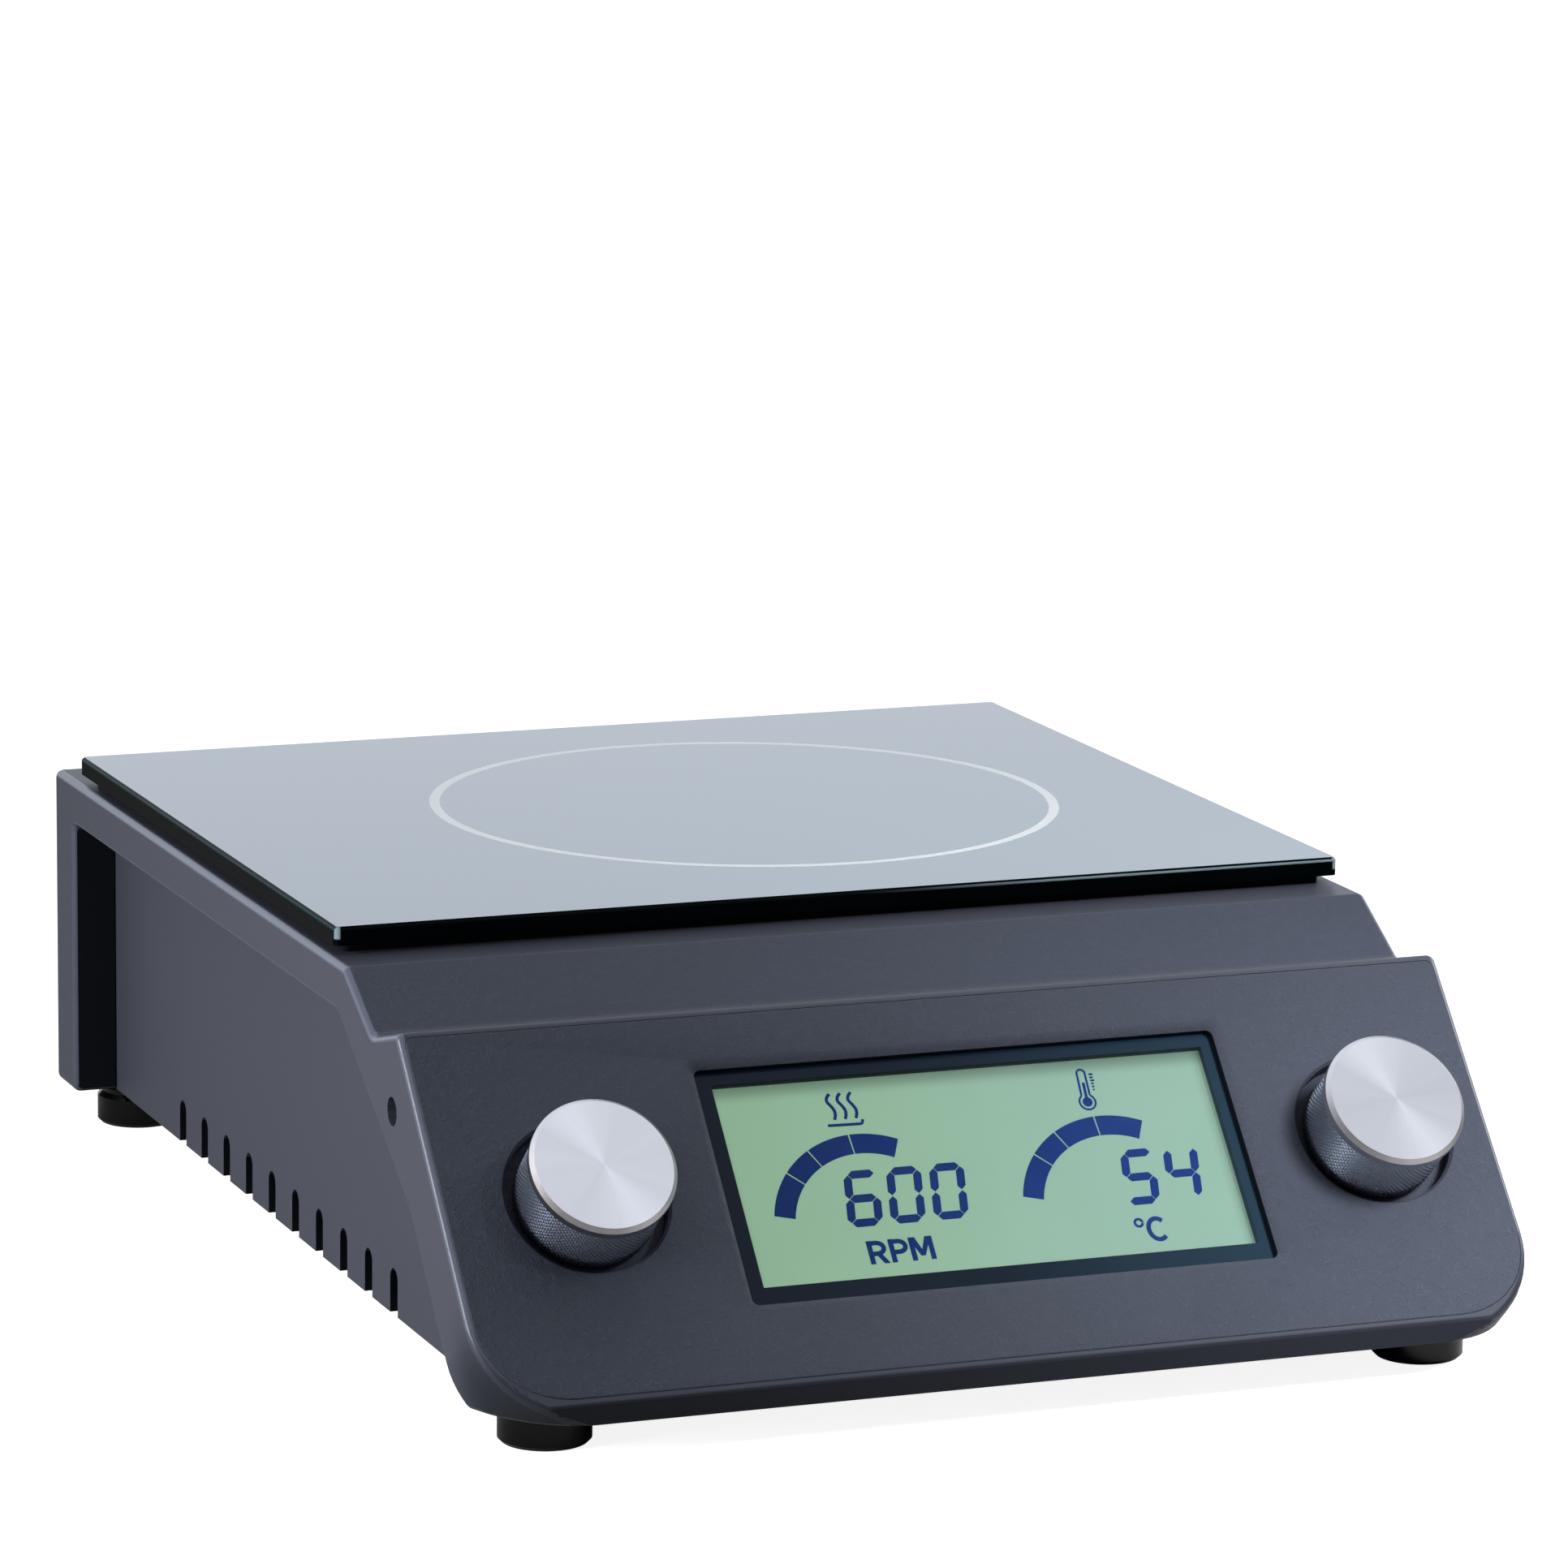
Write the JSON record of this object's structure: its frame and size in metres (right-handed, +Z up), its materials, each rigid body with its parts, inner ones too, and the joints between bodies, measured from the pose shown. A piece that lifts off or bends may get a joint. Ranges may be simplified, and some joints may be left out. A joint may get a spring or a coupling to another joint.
{
  "type": "hotplate stirrer",
  "caption": "Laboratory hotplate with a flat glass top over a radiant heater, magnetic stirring, push-and-turn knobs and a display on a sloping front.",
  "frame": {"origin": "centre of the overall box, on the plane that the feet stand on", "axes": "+X to the viewer's right across the front, +Y from the sloping control face to the rear wall, +Z up"},
  "size_m": [0.233, 0.314, 0.089],
  "materials": {
    "housing_plastic": "smooth dark blue-grey moulding",
    "panel_plastic": "fine leather grain",
    "tub_plastic": "smooth dark moulding",
    "foot_rubber": "glossy black",
    "glass_ceramic": "polished, near black, with one printed ring",
    "seal_rubber": "matt black",
    "heater_liner_fibre": "rough insulating fibre",
    "coil_ribbon": "oxidised heating ribbon",
    "sheet_steel": "zinc plated sheet",
    "limiter_ceramic": "white steatite",
    "screw_steel": "plated steel",
    "shaft_steel": "ground steel",
    "motor_steel": "black painted can",
    "carrier_aluminium": "turned",
    "magnet_nickel": "nickel plated",
    "board_green": "glass fibre board",
    "chip_black": "moulded",
    "rocker_black": "gloss black",
    "can_blue": "sleeved",
    "fin_aluminium": "extruded",
    "core_iron": "laminated and varnished",
    "terminal_green": "moulded",
    "lead_sleeve": "silicone sleeved",
    "ribbon_grey": "flat cable",
    "fuse_glass": "clear tube",
    "encoder_metal": "stamped can",
    "plunger_nylon": "natural nylon",
    "limit_brass": "slotted",
    "knob_cap_metal": "spun face with a bright chamfer",
    "knob_skirt_metal": "diamond knurl",
    "display_lens": "smoked frame with a clear window",
    "lcd_green": "green liquid crystal cell",
    "light_white": "edge lit diffuser",
    "socket_metal": "turned"
  },
  "bodies": {
    "housing": {"base_tub": "tub_plastic", "board_chips": "chip_black", "capacitors": "can_blue", "control_board": "board_green", "control_panel": "panel_plastic", "display_spacers": "plunger_nylon", "display_window": "display_lens", "encoder_left": "encoder_metal", "encoder_nuts": "encoder_metal", "encoder_right": "encoder_metal", "foot_front_left": "foot_rubber", "foot_front_right": "foot_rubber", "foot_rear_left": "foot_rubber", "foot_rear_right": "foot_rubber", "foot_screws": "screw_steel", "glass_seal": "seal_rubber", "glass_top": "glass_ceramic", "heat_limiter": "limiter_ceramic", "heat_shield": "sheet_steel", "heat_sink": "fin_aluminium", "heater_coil": "coil_ribbon", "heater_leads": "lead_sleeve", "heater_liner": "heater_liner_fibre", "heater_pan": "sheet_steel", "heater_strap": "sheet_steel", "heater_switch": "chip_black", "housing_screws": "screw_steel", "inlet_blades": "shaft_steel", "inner_screws": "screw_steel", "lcd_backlight": "light_white", "lcd_glass": "lcd_green", "limit_trimmer": "chip_black", "mains_inlet": "chip_black", "mains_leads": "lead_sleeve", "motor_bracket": "sheet_steel", "power_board": "board_green", "probe_socket": "chip_black", "rod_socket": "socket_metal", "signal_ribbon": "ribbon_grey", "stir_motor": "motor_steel", "switch_housing": "chip_black", "terminal_block": "terminal_green", "transformer": "core_iron", "upper_housing": "housing_plastic"},
    "push_left": {"push_plunger_left": "plunger_nylon"},
    "push_right": {"push_plunger_right": "plunger_nylon"},
    "knob_left": {"knob_stem_left": "shaft_steel", "knob_skirt_left": "knob_skirt_metal", "knob_cap_left": "knob_cap_metal"},
    "knob_right": {"knob_stem_right": "shaft_steel", "knob_skirt_right": "knob_skirt_metal", "knob_cap_right": "knob_cap_metal"},
    "stirrer": {"stir_shaft": "shaft_steel", "magnet_carrier": "carrier_aluminium", "stir_magnets": "magnet_nickel"},
    "rocker": {"switch_rocker": "rocker_black"},
    "fuse_tray": {"fuse_drawer": "chip_black", "fuse": "fuse_glass"},
    "limit_adjuster": {"limit_screw": "limit_brass"}
  },
  "joints": [
    {"name": "push_left", "type": "slide", "parent": "housing", "child": "push_left", "axis": [0, 0.7431, -0.6691], "range_m": [0, 0.0008], "stiffness_N_per_m": 4000, "springref_m": -0.0003},
    {"name": "turn_left", "type": "hinge", "parent": "push_left", "child": "knob_left", "pos_m": [-0.085, -0.12649, 0.04689], "axis": [0, -0.7431, 0.6691], "continuous": true},
    {"name": "push_right", "type": "slide", "parent": "housing", "child": "push_right", "axis": [0, 0.7431, -0.6691], "range_m": [0, 0.0008], "stiffness_N_per_m": 4000, "springref_m": -0.0003},
    {"name": "turn_right", "type": "hinge", "parent": "push_right", "child": "knob_right", "pos_m": [0.09, -0.12649, 0.04689], "axis": [0, -0.7431, 0.6691], "continuous": true},
    {"name": "stir_spin", "type": "hinge", "parent": "housing", "child": "stirrer", "pos_m": [0.013, 0.04295, 0.045], "axis": [0, 0, 1], "continuous": true},
    {"name": "power_rocker", "type": "hinge", "parent": "housing", "child": "rocker", "pos_m": [-0.018, 0.152, 0.04], "axis": [1, 0, 0], "range_deg": [0, 14]},
    {"name": "fuse_drawer", "type": "slide", "parent": "housing", "child": "fuse_tray", "axis": [0, 1, 0], "range_m": [0, 0.016]},
    {"name": "limit_adjust", "type": "hinge", "parent": "housing", "child": "limit_adjuster", "pos_m": [-0.1, -0.09686, 0.05991], "axis": [1, 0, 0], "range_deg": [-135, 135]}
  ]
}
